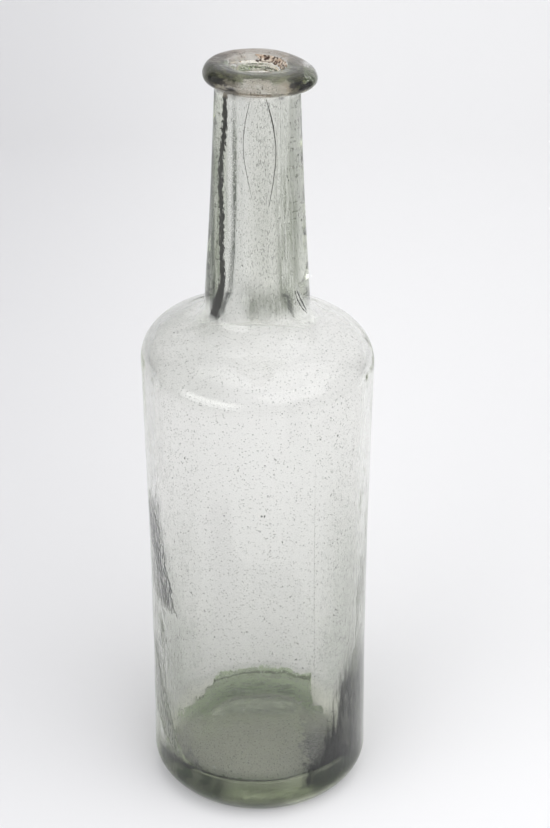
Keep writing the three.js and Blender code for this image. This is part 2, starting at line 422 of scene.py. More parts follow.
def floorEdgeAt(x, y):  # how far out the raised floor reaches at each point
    angle = np.degrees(np.arctan2(x, -y))
    nothing = np.zeros(len(angle))
    along = np.column_stack([angle / glass["jagLength"], nothing, nothing])
    jag = wobble(along, (1, 1, 1), glass["jagSeed"])
    size = np.where(y > 0, glass["jagBehind"], glass["jagInFront"])
    return np.interp(angle, *zip(*glass["floorEdge"])) + size * jag


def markFloor(obj):  # notes for the material which points lie on the raised floor
    x, y, z = readPoints(obj.data).T
    past = np.hypot(x, y) - floorEdgeAt(x, y)
    raised = smooth(glass["floorBlur"], -glass["floorBlur"], past)
    raised = raised * (z > glass["base"] - glass["floorDepth"])
    note = obj.data.attributes.new("raisedFloor", "FLOAT", "POINT")
    note.data.foreach_set("value", raised.astype(np.float32))


# how uneven the walls are, in millimetres: the pairs say where an effect starts and is full
walls = {
    "innerWaves": 0.24, "outerWaves": 0.09, "sideWaves": 0.04, "sideWavesOutside": 0.35,
    "innerLift": 0.3, "outerLift": 1.0, "rimWaves": 0.3, "belowFloor": 0.5,
    "sides": (14.0, 34.0), "sidesTop": (150.0, 60.0), "sidesFoot": (13.0, 16.0),
    "trough": (-0.5, 0.5), "troughTop": (19.0, 16.5), "rim": (30.0, 34.0), "rimTop": (19.5, 16.0),
    "innerFoot": (0.0, 6.0), "innerTop": (266.0, 255.0), "outerFoot": (3.0, 14.0),
    # size of the waves along x, y and z, and where in the noise they lie
    "rimNoise": ((7, 7, 99), 4.4), "innerNoise": ((13, 13, 30), 1.3),
    "innerSideNoise": ((3.4, 3.4, 13), 5.1), "outerNoise": ((11, 11, 24), 3.9),
    "outerSideNoise": ((3.0, 3.0, 10), 9.4),
}


def rippleWalls(obj, outer, inner):  # uneven walls, thick lower sides and a ragged floor edge
    w = walls
    base = glass["base"]
    spots = readPoints(obj.data)
    x, y, z = spots.T
    radius = np.hypot(x, y)
    angle = np.degrees(np.arctan2(x, -y))
    middle = (np.interp(z, *outer) + np.interp(z, *inner)) / 2
    isInner = (radius < middle) & (z > base - w["belowFloor"])
    sides = smooth(*w["sides"], np.abs(x)) * smooth(*w["sidesTop"], z) * smooth(*w["sidesFoot"], z)
    drop = np.interp(angle, *zip(*glass["trough"])) * smooth(*w["trough"], radius - floorEdgeAt(x, y))
    rim = smooth(*w["rim"], radius) * smooth(*w["rimTop"], z)
    drop = drop * smooth(*w["troughTop"], z) - w["rimWaves"] * rim * wobble(spots, *w["rimNoise"])
    spots[:, 2] -= np.where(isInner, drop, 0.0)
    inward = w["innerWaves"] * (wobble(spots, *w["innerNoise"]) - w["innerLift"])
    inward += w["sideWaves"] * sides * wobble(spots, *w["innerSideNoise"])
    inward *= smooth(*w["innerFoot"], z - base) * smooth(*w["innerTop"], z)
    outward = w["outerWaves"] * (wobble(spots, *w["outerNoise"]) - w["outerLift"])
    sideWaves = w["sideWaves"] * w["sideWavesOutside"] * sides
    outward += sideWaves * (wobble(spots, *w["outerSideNoise"]) - w["outerLift"])
    outward *= smooth(*w["outerFoot"], z)
    grown = np.where(isInner, radius + inward, radius + outward)
    factor = np.where(radius > 1e-6, grown / np.maximum(radius, 1e-6), 1.0)
    spots[:, 0] *= factor
    spots[:, 1] *= factor
    writePoints(obj.data, spots)


# how the hot glass sank and leaned, in millimetres
bends = {
    "lipOffset": 0.75, "lipDrop": 0.75, "lipFrom": 0.5,
    "lipDropAcross": (2.0, 18.0), "lipDropUp": (258.0, 263.0),
    "floorSlope": 0.025, "floorFoot": (-1.5, 0.0), "floorTop": (9.0, 3.0), "floorEdge": 2.0,
    "droop": 0.06, "droopFoot": (130.0, 165.0), "droopTop": (222.0, 190.0),
    "slump": 0.028, "slumpUp": (130.0, 180.0), "lean": 0.5,
}


def settle(obj, neckFoot):  # the sloping floor, the dropped right side and the leaning neck
    g, b = glass, bends
    spots = readPoints(obj.data)
    x, y, z = spots.T
    radius = np.hypot(x, y)
    onLip = (z > g["height"] - g["lipHeight"] - b["lipFrom"]) & (radius > g["neckTop"])
    shift = b["lipOffset"] * (radius - g["neckTop"]) / g["lipReach"] * x / np.maximum(radius, 1) ** 2
    stretch = np.where(onLip, 1 + shift, 1.0)
    x, y = x * stretch, y * stretch
    above = z - g["base"]
    onFloor = smooth(*b["floorFoot"], above) * smooth(*b["floorTop"], above)
    z = z + b["floorSlope"] * x * onFloor * (radius < g["foot"] - b["floorEdge"])
    droop = b["droop"] * smooth(*b["droopFoot"], z) * smooth(*b["droopTop"], z)
    z = z - b["slump"] * x * smooth(*b["slumpUp"], z) + droop * y
    z = z - b["lipDrop"] * smooth(*b["lipDropAcross"], x) * smooth(*b["lipDropUp"], z)
    x = x + b["lean"] * np.maximum(0.0, (z - neckFoot) / (g["height"] - neckFoot))
    writePoints(obj.data, np.column_stack([x, y, z]))


# the look of the glass: a surface lets through the square root of its colour
glassLook = {
    "absorb": (0.60, 0.66, 0.46, 1), "density": 17.0, "ior": 1.5,
    # painted shade among these: the darker lower body and left shoulder, the dark arc, back floor, heel
    # and front corner at the base, the mass low at right, the neck's strips and line, the wrinkles'
    # darkness, the lip's sides and its spots
    "body": (0.965, 0.962, 0.955, 1), "bodyAndShoulderShade": (0.73, 0.74, 0.71, 1), "foot": (0.98, 0.985, 0.88, 1),
    "floor": (1.0, 1.0, 0.93, 1), "arc": (0.58, 0.86, 0.38, 1), "arcShade": (0.20, 0.34, 0.11, 1),
    "rimBand": (0.30, 0.385, 0.225, 1), "backFloorShade": (0.36, 0.40, 0.32, 1),
    "frontShade": (0.20, 0.26, 0.14, 1), "heel": (0.008, 0.014, 0.006, 1),
    "underside": (0.98, 0.99, 0.88, 1), "floorCornerShade": (0.0015, 0.002, 0.001, 1),
    "stain": (0.006, 0.008, 0.006, 1), "neckShade": (0.11, 0.125, 0.09, 1),
    "neckEdgeShade": (0.02, 0.025, 0.018, 1), "shadeBesideLine": (0.27, 0.29, 0.24, 1),
    "clearStrip": (1, 1, 1, 1), "streakyNeckShade": (0.27, 0.29, 0.24, 1), "neckLine": (0.002, 0.002, 0.0015, 1),
    "wrinkleShade": (0.055, 0.06, 0.065, 1), "lip": (0.22, 0.155, 0.095, 1),
    "lipSideShade": (0.04, 0.032, 0.020, 1), "blot": (0.003, 0.002, 0.0015, 1),
    "speck": (0.01, 0.01, 0.01, 1),
    # the order in which the tints lie over each other, before the spots of painted shade and the specks
    "layers": ("bodyAndShoulderShade", "foot", "floor", "arc", "arcShade", "rimBand", "backFloorShade", "frontShade", "heel",
               "underside", "floorCornerShade", "stain", "neckShade", "neckEdgeShade", "shadeBesideLine", "clearStrip",
               "streakyNeckShade", "neckLine", "wrinkleShade", "lip", "lipSideShade"),
    # left border of the painted shade low on the right: x = foot + slope * z, in metres
    "lowRightShadeFoot": 0.0168, "lowRightShadeSlope": 0.223, "lowBodyShadeSlope": 0.3,
    # wrinkled bands on the left, running down and to the right, darkened with painted shade:
    # edge, slope, width, top, foot in metres, strength
    "bands": [(-0.0146, 0.179, 0.0046, 0.122, 0.077, 1.0),
              (-0.0238, 0.232, 0.0034, 0.070, 0.018, 0.6)],
    "bandEdge": 0.0006, "bandFade": (1.3, 0.7), "bandTop": 0.012, "bandFoot": 0.006,
    # spots of painted shade on the front of the lip: x, z, half width, half height in metres
    "shadeSpots": [(0.0156, 0.2654, 0.0024, 0.0011), (-0.0077, 0.2662, 0.0014, 0.0006),
              (-0.0141, 0.2658, 0.0013, 0.0008),
              (-0.0118, 0.2676, 0.0030, 0.0009), (0.0122, 0.2668, 0.0020, 0.0008)],
    "shadeSpotEdge": (1.3, 0.7),
    # how far the noise throws the edges about, in metres
    "floorFray": 0.006, "lowRightShadeFray": 0.012, "lineWander": 0.0011, "bandFray": 0.004,
    # specks: scale per metre, size, share of the cells, strength, and the mask that holds them
    "specks": [((900, 900, 760), 0.19, 0.75, 0.5, "everywhere"),
               ((430, 430, 300), 0.105, 0.38, 0.62, "everywhere"),
               ((170, 170, 110), 0.055, 0.30, 1.0, "everywhere"),
               ((2100, 2100, 330), 0.25, 0.7, 0.7, "neckDashes"),
               ((900, 900, 170), 0.20, 0.6, 0.6, "sideDashes")],
    # relief: noise, height in millimetres, and the mask that holds it
    "relief": [("swell", 0.20, "everywhere"), ("sideGrain", 0.07, "lowSides"),
               ("wrinkles", 0.8, "wrinkled"), ("footGrain", 0.06, "under"),
               ("undersideGrain", 0.10, "beneath"), ("toolMarks", 0.20, "onLip"),
               ("lipSwell", 0.22, "onLip"), ("drawnSwell", 0.035, "everywhere"),
               ("speck", -0.10, "everywhere")],
    "toolMarks": ((700,) * 3, 2.0), "toolSlant": 0.12,
}

glassNoises = {  # scale per metre, detail, turn in degrees
    "mottleGrain": ((420,) * 3, 3.0), "floorGrain": ((330,) * 3, 3.0),
    "streaky": ((230, 700, 700), 3.0), "patchy": ((170, 170, 330), 3.0),
    "strokes": ((520, 520, 110), 3.0, (0, 14, 0)), "thin": ((1500, 1500, 170), 2.0, (0, 14, 0)),
    "drawn": ((1100, 1100, 90), 2.0), "wander": ((20, 20, 170), 2.0),
    "lineGrain": ((1300, 1300, 620), 3.0), "bandGrain": ((500, 500, 300), 2.0),
    "hatch": ((1500, 1500, 300), 2.0, (30, 0, 0)), "smoke": ((260, 260, 420), 3.0),
    "lipClouds": ((210, 210, 420), 3.0), "blotGrain": ((900,) * 3, 2.0),
    "swell": ((110, 110, 60), 1.0), "sideGrain": ((850, 850, 150), 2.0),
    "wrinkles": ((1300, 1300, 380), 2.0, (30, 0, 0)), "footGrain": ((520,) * 3, 3.0),
    "undersideGrain": ((900,) * 3, 3.0), "lipSwell": ((330,) * 3, 2.0),
    "drawnSwell": ((420, 420, 120), 2.0),
}

# A row names a place in metres, or a noise, then the values between which it is eased, and what
# it is eased from and to if not from 0 to 1. A list of names stands for the strongest of them.
glassCourses = {  # in metres, apart from blotFray
    "stainSweep": [("z", 0.027, 0.016, 0.0, -0.0055)],  # its border runs inward at its foot
    "lineTop": [("z", 0.256, 0.238, -0.0097, -0.0113)],
    "lineFoot": [("z", 0.203, 0.185, 0.0, -0.0029)],
    "lineBroad": [("z", 0.203, 0.192, 0.0, -0.0007)],
    "lineRough": [("lineGrain", 0.3, 0.7, -0.0004, 0.0004)],
    "blotFray": [("blotGrain", 0.3, 0.7, -0.5, 0.5)],
}

glassMasks = {
    "mottle": [("mottleGrain", 0.4, 0.62)],
    "onLip": [("z", 0.2610, 0.2645)],
    "onNeck": [("z", 0.1855, 0.1925), ("z", 0.2625, 0.2600)],
    "atSides": [("aside", 0.018, 0.036)],
    "lowSides": [["atSides"], ("z", 0.150, 0.060)],
    "under": [("z", 0.0135, 0.0105)],
    "beneath": [("z", 0.003, 0.002), ("radius", 0.031, 0.029)],
    # painted shade: the body darker towards its foot and sides, and the left of the shoulder darker
    "lowBodyShade": [("slanted", 0.135, 0.060), ("atSides", 0.0, 1.0, 0.35, 0.88)],
    "shoulderShade": [("z", 0.160, 0.170), ("z", 0.190, 0.184), ("x", -0.004, -0.018, 0.0, 0.42)],
    "bodyAndShoulderShade": [["lowBodyShade", "shoulderShade"]],
    # the base: green floor, and painted shade for the dark arc, the back and front of the floor, the
    # heel, the line along the front corner and the mass low at right
    "foot": [("z", 0.019, 0.008)],
    "onFloor": [["raised"], ("frayedZ", 0.0166, 0.0160), ("z", 0.0115, 0.0125)],
    "floor": [["onFloor"], ("y", -0.030, 0.010)],
    "arc": [["onFloor"], ("radius", 0.0180, 0.0215), ("y", 0.000, 0.012)],
    # painted shade: the contact shadow under the far heel, seen through the slab as a dark streaky arc
    "arcShade": [["arc"], ("radius", 0.0310, 0.0270), ("y", 0.010, 0.019),
                ("streaky", 0.44, 0.60), ("aside", 0.0200, 0.0100)],
    "rimBand": [["onFloor"], ("radius", 0.0290, 0.0325), ("y", -0.006, 0.004),
                ("mottle", 0.0, 1.0, 0.7, 1.0)],
    # painted shade over the back middle of the raised floor, dimming the glint the slab shows there
    "backFloorShade": [["onFloor"], ("radius", 0.0205, 0.0165), ("y", 0.003, 0.009)],
    "frontShade": [["onFloor"], ("radius", 0.0270, 0.0340), ("y", -0.008, -0.018)],
    # painted shade: the contact shadow and the dark thick heel along the whole bottom rim, strongest at
    # the left and right front and faint at the back
    "inFront": [("y", -0.006, -0.016)],
    "leftHeel": [["inFront"], ("x", -0.003, -0.0155)],
    "middleHeel": [["inFront"], ("x", 0.004, 0.011, 0.45, 0.0)],
    "rightHeel": [["inFront"], ("x", 0.016, 0.0205), ("z", 0.006, 0.0105, 0.65, 1.0)],
    "farHeel": [("y", 0.010, 0.028, 0.0, 0.25)],
    "rimHigh": [("z", 0.0130, 0.0085, 0.0, 0.76)],
    "rimLow": [("z", 0.0094, 0.0072, 0.0, 0.995)],
    "rim": [["rimHigh", "rimLow"], ("x", 0.006, 0.014, 1.0, 0.40), ("y", 0.006, -0.008)],
    "belowFloor": [("z", 0.0130, 0.0120)],
    "outerSkin": [("radius", 0.0365, 0.0375)],
    "heel": [["leftHeel", "middleHeel", "rightHeel", "farHeel", "rim"],
             ("patchy", 0.35, 0.6, 0.92, 1.0), ("z", 0.0182, 0.0162), ("radius", 0.0245, 0.0265),
             ["belowFloor", "outerSkin"]],
    "underside": [["beneath"], ["mottle"]],
    # painted shade: a thin dark line where the front wall meets the raised floor
    "floorCornerShade": [("z", 0.0173, 0.0162), ("z", 0.0140, 0.0148), ("radius", 0.0326, 0.0334),
             ("radius", 0.0366, 0.0360), ("y", -0.004, -0.014), ("mottle", 0.0, 0.5, 0.85, 0.99)],
    # painted shade: the dark streaky mass low on the right, where the thick heel bends the light
    "stain": [("pastBorder", -0.0012, 0.0030), ("x", 0.0410, 0.0385), ("z", 0.066, 0.046),
              ("z", 0.0095, 0.0130), ("y", 0.010, -0.012), ("strokes", 0.36, 0.56, 0.91, 1.0),
              ("thin", 0.38, 0.54, 0.80, 1.0)],
    # the neck, in painted shade: a dark line at the bore's edge and a dark strip on the left, a streaky
    # shade on the right and low down, with a clear strip between
    "neckFront": [("y", 0.003, -0.003)],
    "neckShade": [["onNeck"], ["neckFront"], ("x", -0.0098, -0.0116), ("x", -0.0158, -0.0144),
                  ("z", 0.262, 0.238, 0.55, 1.0), ("drawn", 0.35, 0.60, 0.84, 1.0)],
    # painted shade: the dark left edge of the neck, and a softer shade right of the line
    "neckEdgeShade": [["onNeck"], ["neckFront"], ("x", -0.0134, -0.0141), ("drawn", 0.35, 0.60, 0.7, 1.0)],
    "shadeBesideLine": [["onNeck"], ["neckFront"], ("x", -0.0112, -0.0104),
                   ("x", -0.0085, -0.0098, 0.0, 0.7), ("z", 0.205, 0.225)],
    "clearStrip": [["onNeck"], ["neckFront"], ("x", -0.0095, -0.0080), ("x", -0.0015, -0.0040)],
    # painted shade, streaky, on the right of the neck and low down at its foot
    "neckShadeRight": [("x", 0.0050, 0.0085, 0.28, 1.0), ("x", -0.003, 0.001),
                  ("z", 0.262, 0.225, 0.5, 1.0), ("x", 0.0150, 0.0125, 0.2, 1.0)],
    "neckShadeLow": [("z", 0.205, 0.188, 0.0, 0.97), ("x", -0.006, -0.002)],
    "streakyNeckShade": [["onNeck"], ["neckFront"], ["neckShadeRight", "neckShadeLow"], ("drawn", 0.36, 0.60, 0.60, 1.0)],
    # painted shade: the dark line where the bore's edge shows through the neck's wall
    "neckLine": [("fromLine", 0.0010, 0.0006), ["neckFront"], ("z", 0.1840, 0.1875),
                 ("z", 0.2640, 0.2625)],
    # the lip: brownish smoke, with painted shade at both sides
    "lip": [("smoke", 0.3, 0.7, 0.78, 1.0), ["onLip"], ("aside", 0.004, 0.011, 0.86, 1.0),
            ("radius", 0.0088, 0.0110), ("x", 0.0160, 0.0145, 0.1, 1.0)],
    "lipLeft": [("x", -0.0045, -0.0070)],
    "lipRight": [("x", 0.0092, 0.0115)],
    # painted shade: the dark sides of the lip
    "lipSideShade": [["onLip"], ("radius", 0.0088, 0.0110), ["lipLeft", "lipRight"],
                ("x", -0.0168, -0.0152), ("x", 0.0155, 0.0140), ("y", 0.013, 0.009),
                ("lipClouds", 0.40, 0.58, 0.72, 1.0)],
    "shadeSpotFront": [("y", 0.0, -0.003)],
    "hatched": [("hatch", 0.38, 0.58)],
    "bandFront": [("y", -0.004, -0.009)],
    "neckDashes": [["onNeck"], ("x", -0.005, 0.004, 0.45, 1.0)],
    "sideDashes": [["atSides"], ("z", 0.176, 0.168), ("z", 0.150, 0.120)],
}


def within(tree, at, rows):  # the product of all rows
    masks = []
    for row in rows:
        if isinstance(row, list):
            masks.append(chain(tree, "MAXIMUM", *(at[name] for name in row)))
        else:
            masks.append(ease(tree, at[row[0]], *row[1:]))
    return chain(tree, "MULTIPLY", *masks)


def glassPlaces(tree):  # the sockets that the masks read, by name
    look = glassLook
    place = tree.nodes.new("ShaderNodeTexCoord").outputs["Object"]
    split = tree.nodes.new("ShaderNodeSeparateXYZ")
    tree.links.new(place, split.inputs[0])
    outward = tree.nodes.new("ShaderNodeVectorMath")
    outward.operation = "LENGTH"
    tree.links.new(stretched(tree, place, (1, 1, 0)), outward.inputs[0])
    note = tree.nodes.new("ShaderNodeAttribute")
    note.attribute_name = "raisedFloor"
    x, y, z = split.outputs
    at = {"place": place, "x": x, "y": y, "z": z, "radius": outward.outputs["Value"],
          "aside": calc(tree, "ABSOLUTE", x), "raised": note.outputs["Fac"]}
    for name, numbers in glassNoises.items():
        at[name] = cloud(tree, place, *numbers)
    for name, rows in glassCourses.items():
        at[name] = within(tree, at, rows)

    at["slanted"] = calc(tree, "SUBTRACT", z, calc(tree, "MULTIPLY", x, look["lowBodyShadeSlope"]))
    at["frayedZ"] = calc(tree, "ADD", z, thrown(tree, at["floorGrain"], look["floorFray"]))
    border = calc(tree, "MULTIPLY", z, look["lowRightShadeSlope"])
    border = chain(tree, "ADD", border, look["lowRightShadeFoot"], at["stainSweep"])
    at["pastBorder"] = calc(tree, "ADD", calc(tree, "SUBTRACT", x, border),
                            thrown(tree, at["strokes"], look["lowRightShadeFray"]))
    wandering = calc(tree, "ADD", x, thrown(tree, at["wander"], look["lineWander"]))
    course = calc(tree, "ADD", at["lineTop"], at["lineFoot"])
    away = calc(tree, "ABSOLUTE", calc(tree, "SUBTRACT", wandering, course))
    at["fromLine"] = chain(tree, "ADD", away, at["lineRough"], at["lineBroad"])

    tooling = tree.nodes.new("ShaderNodeCombineXYZ")
    tree.links.new(at["radius"], tooling.inputs[0])
    tree.links.new(calc(tree, "MULTIPLY", x, look["toolSlant"]), tooling.inputs[1])
    tree.links.new(z, tooling.inputs[2])
    at["toolMarks"] = cloud(tree, tooling.outputs[0], *look["toolMarks"])
    return at


def slantedBand(tree, at, edge, slope, width, top, foot, strength):
    look = glassLook
    across = chain(tree, "ADD", at["x"], calc(tree, "MULTIPLY", at["z"], slope),
                   thrown(tree, at["bandGrain"], look["bandFray"]))
    far, near = look["bandFade"]
    return chain(tree, "MULTIPLY", ease(tree, across, edge, edge - look["bandEdge"]),
                 ease(tree, across, edge - width * far, edge - width * near), at["bandFront"],
                 ease(tree, at["z"], top, top - look["bandTop"]),
                 ease(tree, at["z"], foot, foot + look["bandFoot"]), strength)


# painted shade: dark spots on the front of the lip
def layShadeSpots(tree, tint, at):
    for bx, bz, width, height in glassLook["shadeSpots"]:
        dx = calc(tree, "DIVIDE", calc(tree, "SUBTRACT", at["x"], bx), width)
        dz = calc(tree, "DIVIDE", calc(tree, "SUBTRACT", at["z"], bz), height)
        away = chain(tree, "ADD", calc(tree, "MULTIPLY", dx, dx), calc(tree, "MULTIPLY", dz, dz),
                     at["blotFray"])
        blot = calc(tree, "MULTIPLY", ease(tree, away, *glassLook["shadeSpotEdge"]), at["shadeSpotFront"])
        tint = blendColour(tree, blot, tint, glassLook["blot"])
    return tint


def glassMaterial():
    look = glassLook
    material = bpy.data.materials.new("seedyGlass")
    material.use_nodes = True
    tree = material.node_tree
    surface = tree.nodes["Principled BSDF"]
    surface.inputs["IOR"].default_value = look["ior"]
    surface.inputs["Transmission Weight"].default_value = 1.0
    surface.inputs["Roughness"].default_value = 0.0
    at = glassPlaces(tree)
    for name, rows in glassMasks.items():
        at[name] = within(tree, at, rows)
    at["wrinkled"] = chain(tree, "MAXIMUM", *(slantedBand(tree, at, *band) for band in look["bands"]))
    # the wrinkles' relief is real, their darkness painted shade
    at["wrinkleShade"] = calc(tree, "MULTIPLY", at["wrinkled"], at["hatched"])
    spots = []
    for scale, size, kept, strength, mask in look["specks"]:
        spots.append(calc(tree, "MULTIPLY", dots(tree, at["place"], scale, size, kept), strength))
        if mask != "everywhere":
            spots[-1] = calc(tree, "MULTIPLY", spots[-1], at[mask])
    at["speck"] = chain(tree, "MAXIMUM", *spots)

    tint = look["body"]
    for name in look["layers"]:
        tint = blendColour(tree, at[name], tint, look[name])
    tint = layShadeSpots(tree, tint, at)
    tint = blendColour(tree, at["speck"], tint, look["speck"])
    put(tree, tint, surface.inputs["Base Color"])

    heights = []
    for name, amount, mask in look["relief"]:
        heights.append(calc(tree, "MULTIPLY", at[name], amount))
        if mask != "everywhere":
            heights[-1] = calc(tree, "MULTIPLY", heights[-1], at[mask])
    bump = tree.nodes.new("ShaderNodeBump")
    bump.inputs["Distance"].default_value = mm
    tree.links.new(chain(tree, "ADD", *heights), bump.inputs["Height"])
    tree.links.new(bump.outputs["Normal"], surface.inputs["Normal"])

    depth = tree.nodes.new("ShaderNodeVolumeAbsorption")
    depth.inputs["Color"].default_value = look["absorb"]
    depth.inputs["Density"].default_value = look["density"]
    tree.links.new(depth.outputs[0], tree.nodes["Material Output"].inputs["Volume"])
    return material


# bubbles in the glass, in millimetres
seeds = {
    "random": 41,
    # how many, lowest, highest, smallest and biggest radius, how drawn out
    "zones": [
        (420, 20.0, 165.0, 0.12, 0.36, 1.5), (60, 165.0, 188.0, 0.12, 0.34, 1.4),
        (170, 190.0, 262.0, 0.10, 0.28, 3.2), (90, 263.5, 268.5, 0.10, 0.30, 1.0),
        (90, 3.0, 13.5, 0.12, 0.36, 1.0),
    ],
    "smallOnes": 2.2,  # the higher, the fewer big ones
    "depth": (0.3, 0.8), "fromSkin": 4.0, "lean": 0.25, "dents": (0.97, 1.03), "nearAxis": 2.0,
}


def addSeeds(obj, outer, inner):
    startClean()
    bpy.ops.mesh.primitive_ico_sphere_add(subdivisions=1, radius=1.0, location=(0, 0, 0))
    seed = bpy.context.object
    bpy.ops.object.mode_set(mode="EDIT")
    bpy.ops.mesh.flip_normals()
    bpy.ops.object.mode_set(mode="OBJECT")
    rng = random.Random(seeds["random"])
    mesh = bmesh.new()
    mesh.from_mesh(obj.data)
    made = 0
    for count, low, high, small, big, drawn in seeds["zones"]:
        for i in range(count):
            angle = rng.uniform(0, math.tau)
            z = rng.uniform(low, high)
            size = small + (big - small) * rng.random() ** seeds["smallOnes"]
            outerR, innerR = float(np.interp(z, *outer)), float(np.interp(z, *inner))
            if z < glass["base"]:
                radius = math.sqrt(rng.random()) * (outerR - seeds["fromSkin"])
            else:
                radius = innerR + (outerR - innerR) * rng.uniform(*seeds["depth"])
            lean = rng.gauss(0, seeds["lean"])
            first = len(mesh.verts)
            mesh.from_mesh(seed.data)
            mesh.verts.ensure_lookup_table()
            for vert in mesh.verts[first:]:
                a, b, c = vert.co * size
                c *= drawn * rng.uniform(*seeds["dents"])
                a += lean * c
                r = radius + b
                turn = angle + a / max(radius, seeds["nearAxis"])
                vert.co = Vector((r * math.sin(turn), -r * math.cos(turn), z + c)) * mm
            made += 1
    mesh.to_mesh(obj.data)
    mesh.free()
    bpy.data.objects.remove(seed)
    obj.data.update()
    useOnly(obj)
    bpy.ops.object.shade_smooth()
    print(made, "bubbles blown into the glass")


# dark streaks and grains caught in the glass, in millimetres
streaks = {
    "random": 19, "colour": (0.018, 0.017, 0.014, 1), "paleColour": (0.09, 0.08, 0.06, 1),
    "mottle": (900,) * 3, "mottleEdges": (0.4, 0.7), "roughness": 0.7,
    # thickness, depth behind the bore's wall, and (angle, height) along each
    "lines": [
        (0.24, 0.20, [(90, 193), (91, 189), (89, 184)]),
        (0.10, 6.2, [(-9, 262.5), (-15, 257), (-19.5, 250), (-19, 243), (-13.5, 236), (-7, 229)]),
        (0.19, 6.2, [(11, 262.5), (18, 257), (23, 251), (26, 244.5), (22, 235), (15, 226.5)]),
        (0.06, 6.2, [(32, 260), (32.5, 252), (32, 245)]),
        (0.07, 6.2, [(37, 225), (36, 215), (37, 207)]),
        (0.045, 2.4, [(29, 145), (29.2, 110), (29.6, 80), (30.6, 50)]),
    ],
    "endWidth": 0.3, "widths": (0.6, 1.3), "curveSteps": 6, "curveOrder": 3,
    "grains": 260, "grainSize": (0.05, 0.17), "grainZones": [(18, 168), (168, 186), (190, 268)],
    "grainDepth": (0.25, 0.8), "grainShape": (0.7, 1.15),
    "drawnAbove": 190, "drawnInNeck": 2.2, "drawnInBody": 1.2,
}


def streakMaterial():
    material = bpy.data.materials.new("darkStreak")
    material.use_nodes = True
    tree = material.node_tree
    surface = tree.nodes["Principled BSDF"]
    place = tree.nodes.new("ShaderNodeTexCoord").outputs["Object"]
    tone = ease(tree, cloud(tree, place, streaks["mottle"]), *streaks["mottleEdges"])
    tint = blendColour(tree, tone, streaks["colour"], streaks["paleColour"])
    put(tree, tint, surface.inputs["Base Color"])
    surface.inputs["Roughness"].default_value = streaks["roughness"]
    return material


def drawStreak(rng, thickness, places):  # places in millimetres
    curve = bpy.data.curves.new("streak", "CURVE")
    curve.dimensions = "3D"
    curve.bevel_depth = thickness * mm
    curve.bevel_resolution = 1
    curve.resolution_u = streaks["curveSteps"]
    curve.use_fill_caps = True
    line = curve.splines.new("NURBS")
    line.points.add(len(places) - 1)
    line.use_endpoint_u = True
    line.order_u = streaks["curveOrder"]
    for i, (point, (x, y, z)) in enumerate(zip(line.points, places)):
        point.co = (x * mm, y * mm, z * mm, 1)
        isEnd = i in (0, len(places) - 1)
        point.radius = streaks["endWidth"] if isEnd else rng.uniform(*streaks["widths"])
    streak = bpy.data.objects.new("streak", curve)
    bpy.context.collection.objects.link(streak)
    useOnly(streak)
    bpy.ops.object.convert(target="MESH")
    return bpy.context.object


def addGrains(rng, grain, outer, inner):
    small, big = streaks["grainSize"]
    mesh = bmesh.new()
    for i in range(streaks["grains"]):
        turn = rng.uniform(0, math.tau)
        z = rng.choice([rng.uniform(*zone) for zone in streaks["grainZones"]])
        outerR, innerR = float(np.interp(z, *outer)), float(np.interp(z, *inner))
        reach = innerR + (outerR - innerR) * rng.uniform(*streaks["grainDepth"])
        size = small + (big - small) * rng.random() ** 2
        spot = Vector((reach * math.sin(turn), -reach * math.cos(turn), z))
        drawn = streaks["drawnInNeck"] if z > streaks["drawnAbove"] else streaks["drawnInBody"]
        first = len(mesh.verts)
        mesh.from_mesh(grain.data)
        mesh.verts.ensure_lookup_table()
        for vert in mesh.verts[first:]:
            shape = vert.co * size * rng.uniform(*streaks["grainShape"])
            shape.z *= drawn
            vert.co = (shape + spot) * mm
    mesh.to_mesh(grain.data)
    mesh.free()


def buildStreaks(outer, inner, neckFoot):
    startClean()
    rng = random.Random(streaks["random"])
    made = []
    for thickness, depth, course in streaks["lines"]:
        places = []
        for angle, z in course:
            turn = math.radians(angle)
            reach = float(np.interp(z, *inner)) + depth
            places.append((reach * math.sin(turn), -reach * math.cos(turn), z))
        made.append(drawStreak(rng, thickness, places))
    bpy.ops.mesh.primitive_ico_sphere_add(subdivisions=1, radius=1.0, location=(0, 0, 0))
    grain = bpy.context.object
    grain.name = "glassStreaks"
    addGrains(rng, grain, outer, inner)
    startClean()
    for streak in made:
        streak.select_set(True)
    grain.select_set(True)
    bpy.context.view_layer.objects.active = grain
    bpy.ops.object.join()
    settle(grain, neckFoot)
    bpy.ops.object.mode_set(mode="EDIT")
    bpy.ops.mesh.select_all(action="SELECT")
    bpy.ops.mesh.remove_doubles(threshold=1e-6)
    bpy.ops.mesh.normals_make_consistent(inside=False)
    bpy.ops.object.mode_set(mode="OBJECT")
    bpy.ops.object.shade_smooth()
    giveMaterial(grain, streakMaterial())
    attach(grain, "root")
    print(len(made), "streaks and", streaks["grains"], "grains set in the glass")


# dry remains of cork and wax in the funnel of the mouth, in millimetres and degrees
crust = {
    "from": -4.0, "to": 94.0, "top": 9.25, "bottom": 7.15, "thickness": 0.5,
    "across": 44, "down": 8, "funnelDepth": 4.0, "taper": 9,
    "fray": (9, 2, 3.1), "frayReach": (0.8, 0.35),  # waves across and down, and their seed
    "lift": 0.06, "lumps": (14, 4, 8.8), "lumpHeight": 0.22,
    "crumbs": 110, "random": 7, "crumbSize": (0.10, 0.34), "crumbShape": (0.65, 1.2),
    "strays": 0.12, "strayAngles": (-30, 170), "crumbInset": 0.3, "crumbLift": 0.5,
}

